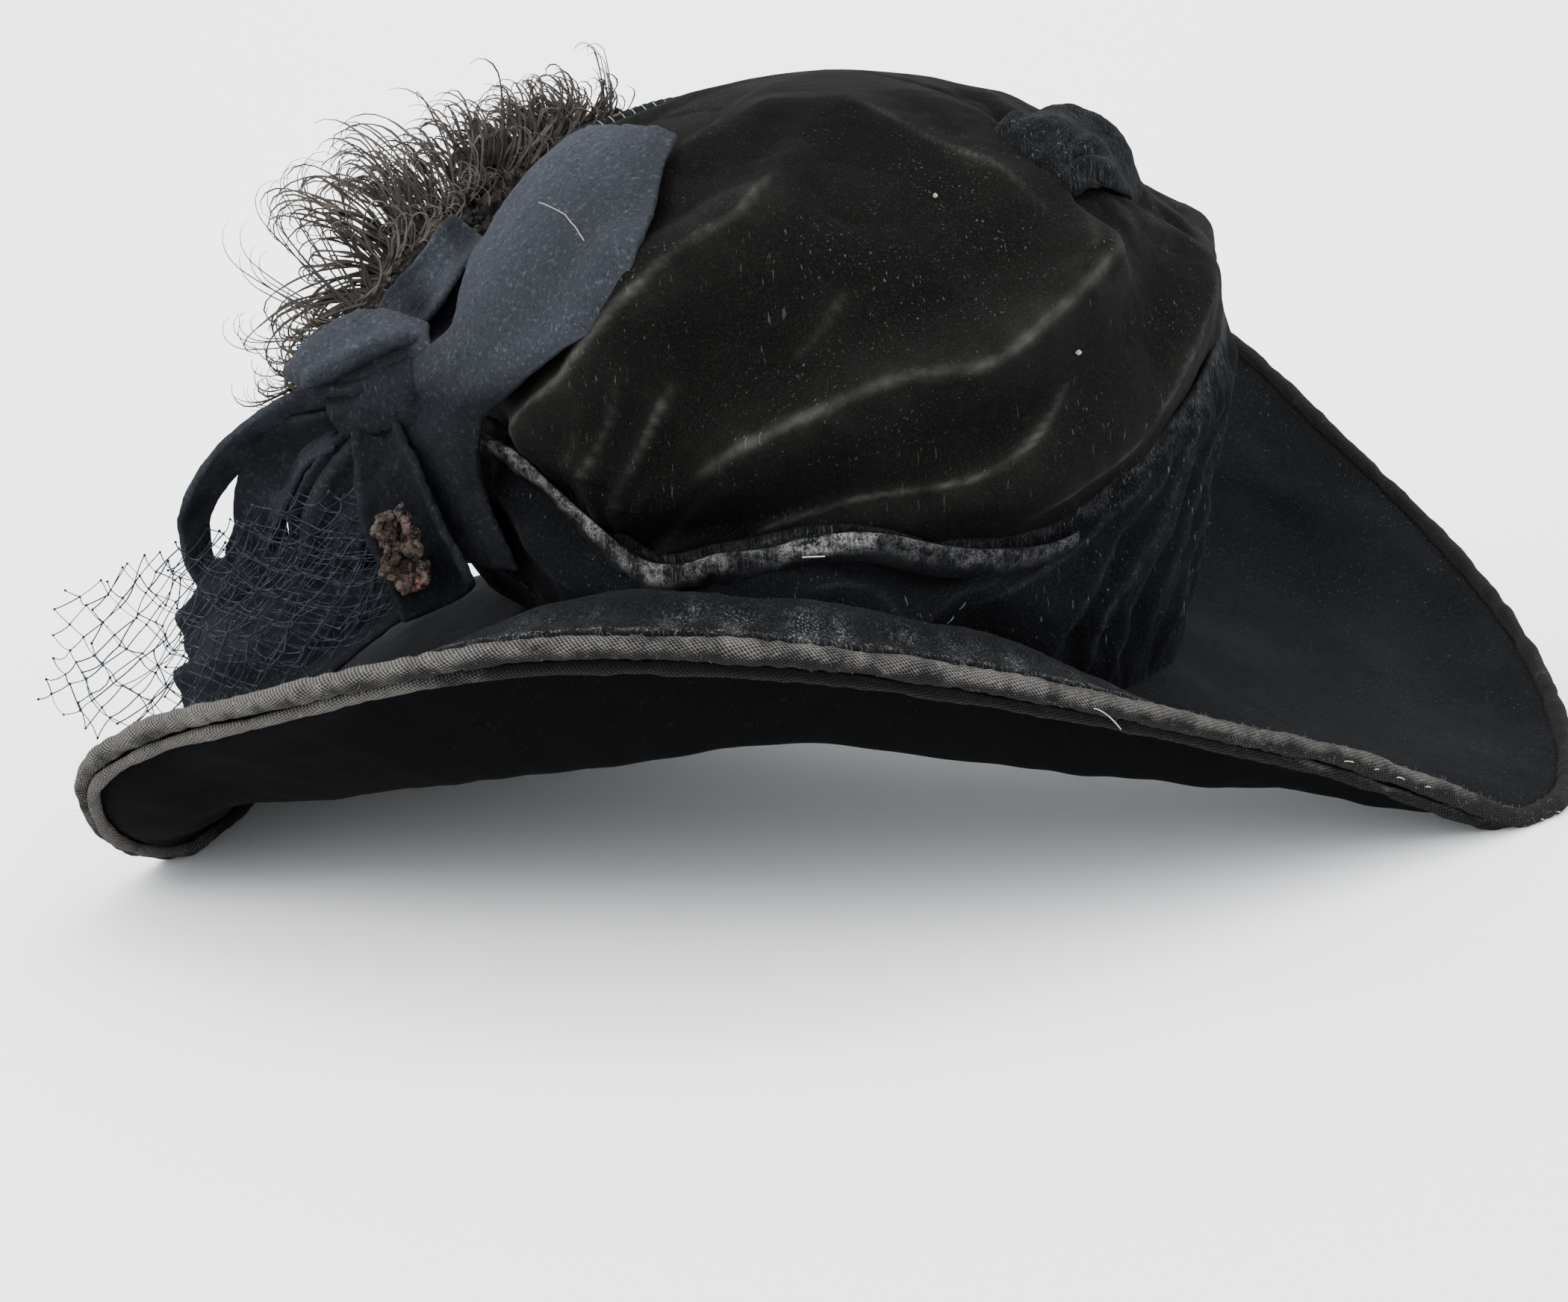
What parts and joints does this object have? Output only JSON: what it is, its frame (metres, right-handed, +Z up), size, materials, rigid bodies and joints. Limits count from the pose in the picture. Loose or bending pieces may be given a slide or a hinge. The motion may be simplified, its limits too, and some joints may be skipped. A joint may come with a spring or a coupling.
{
  "type": "wide-brim hat",
  "caption": "Wide-brim dress hat: draped velvet crown and band, stiff brim rolled up at the back with a corded edge, felt bow, ostrich plume and a piece of net veil.",
  "frame": {"origin": "under the middle of the bounding box, at the height of the lowest point of the brim's cord", "axes": "+Z up, +X to the wearer's right, -Y the back of the hat, which faces the camera"},
  "size_m": [0.4906, 0.3678, 0.2405],
  "materials": {
    "velvet_brim": "black velvet, nap worn to pale vertical streaks on the rolled edge",
    "velvet_crown": "black velvet faded brown, pressed nap lighter along its folds",
    "velvet_band": "blue-black velvet, draped",
    "velvet_hem": "folded velvet edge, nap rubbed to whitish grey",
    "cord_worn": "fat piping of twill, faded grey-taupe",
    "cord_dark": "thin piping of dark twill",
    "felt": "slate felt, matt, with small hairs and moth holes at its edges",
    "feather": "curled barbs, brown-grey to black",
    "stem_wrap": "velvet roll with pale thread wraps",
    "net": "blue-black diamond net",
    "staple_wire": "plain wire"
  },
  "bodies": {
    "root": {"brim": "velvet_brim", "edge_cord": "cord_worn", "under_cord": "cord_dark", "crown": "velvet_crown", "crown_band": "velvet_band", "band_hem": "velvet_hem", "crown_tuck": "velvet_band", "felt_leaf": "felt", "felt_broad_tail": "felt", "felt_rolled_tail": "felt", "felt_second_loop": "felt", "felt_ring_loop": "felt", "felt_strap": "felt", "felt_petal": "felt", "staple": "staple_wire", "plume_stem": "stem_wrap", "plume": "feather", "veil": "net"}
  },
  "joints": []
}
